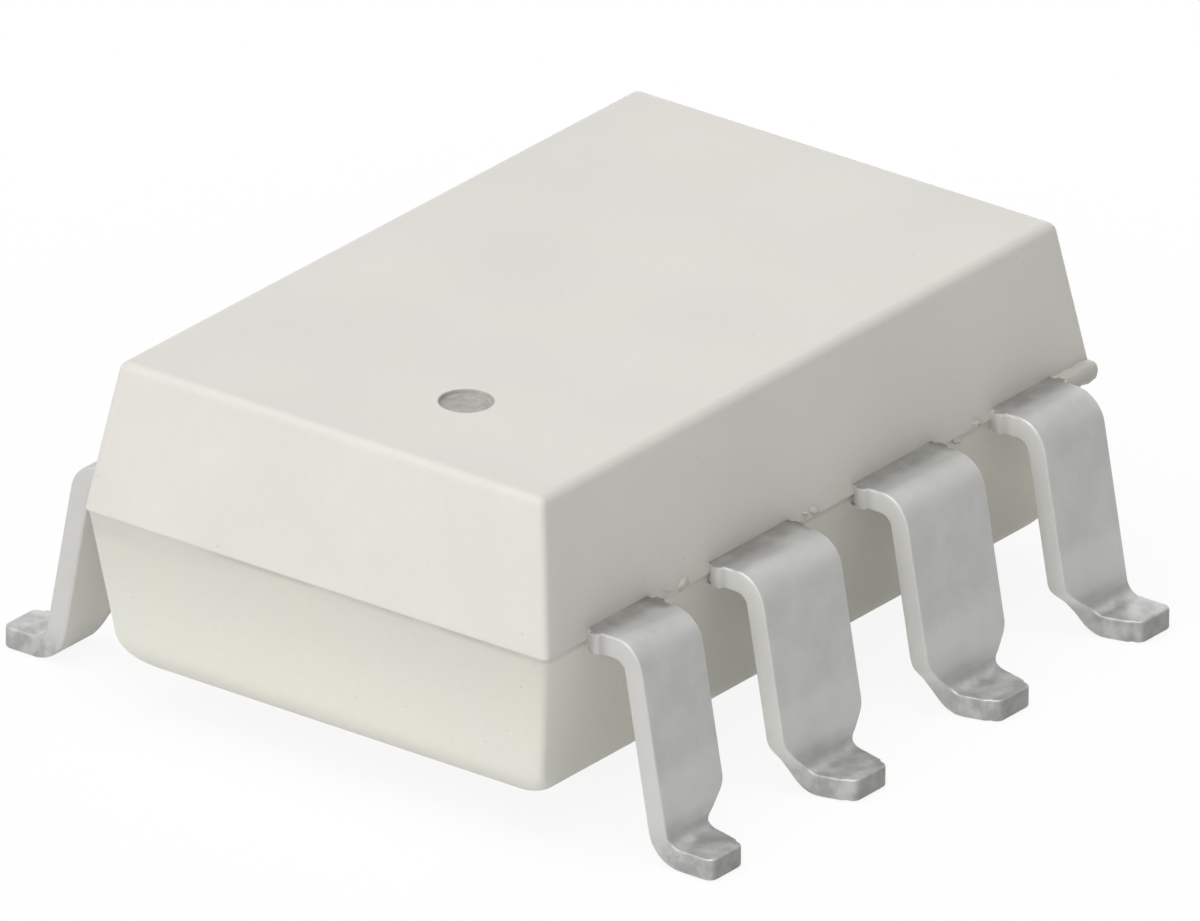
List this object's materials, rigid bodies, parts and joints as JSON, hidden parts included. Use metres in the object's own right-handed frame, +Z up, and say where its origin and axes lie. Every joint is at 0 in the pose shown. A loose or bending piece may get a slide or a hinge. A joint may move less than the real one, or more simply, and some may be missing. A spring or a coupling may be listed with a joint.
{
  "type": "gull-wing optocoupler chip",
  "caption": "White moulded optocoupler package with gull-wing leads along both long sides, for surface mounting on a circuit board.",
  "frame": {"origin": "middle of the package's bounding box, on the seating plane under the lead feet", "axes": "+Z up out of the circuit board, +X along the rows of leads away from lead 1, +Y across the body from the input leads to the output leads"},
  "size_m": [0.0096, 0.0096, 0.0041],
  "materials": {
    "mould_compound": "white moulded epoxy, fine matt grain",
    "tinned_lead": "satin tin plating on copper alloy",
    "clear_silicone": "clear soft silicone gel",
    "emitter_crystal": "polished semiconductor crystal",
    "detector_silicon": "polished silicon",
    "silver_adhesive": "silver-filled adhesive",
    "gold_wire": "bright gold wire"
  },
  "bodies": {
    "root": {"mould_body": "mould_compound", "lead_1": "tinned_lead", "lead_2": "tinned_lead", "lead_3": "tinned_lead", "lead_4": "tinned_lead", "lead_5": "tinned_lead", "lead_6": "tinned_lead", "lead_7": "tinned_lead", "lead_8": "tinned_lead", "silicone_dome": "clear_silicone", "led_die": "emitter_crystal", "led_die_attach": "silver_adhesive", "detector_die": "detector_silicon", "detector_die_attach": "silver_adhesive", "anode_wire": "gold_wire", "supply_wire": "gold_wire", "enable_wire": "gold_wire", "output_wire": "gold_wire", "ground_wire": "gold_wire"}
  },
  "joints": []
}
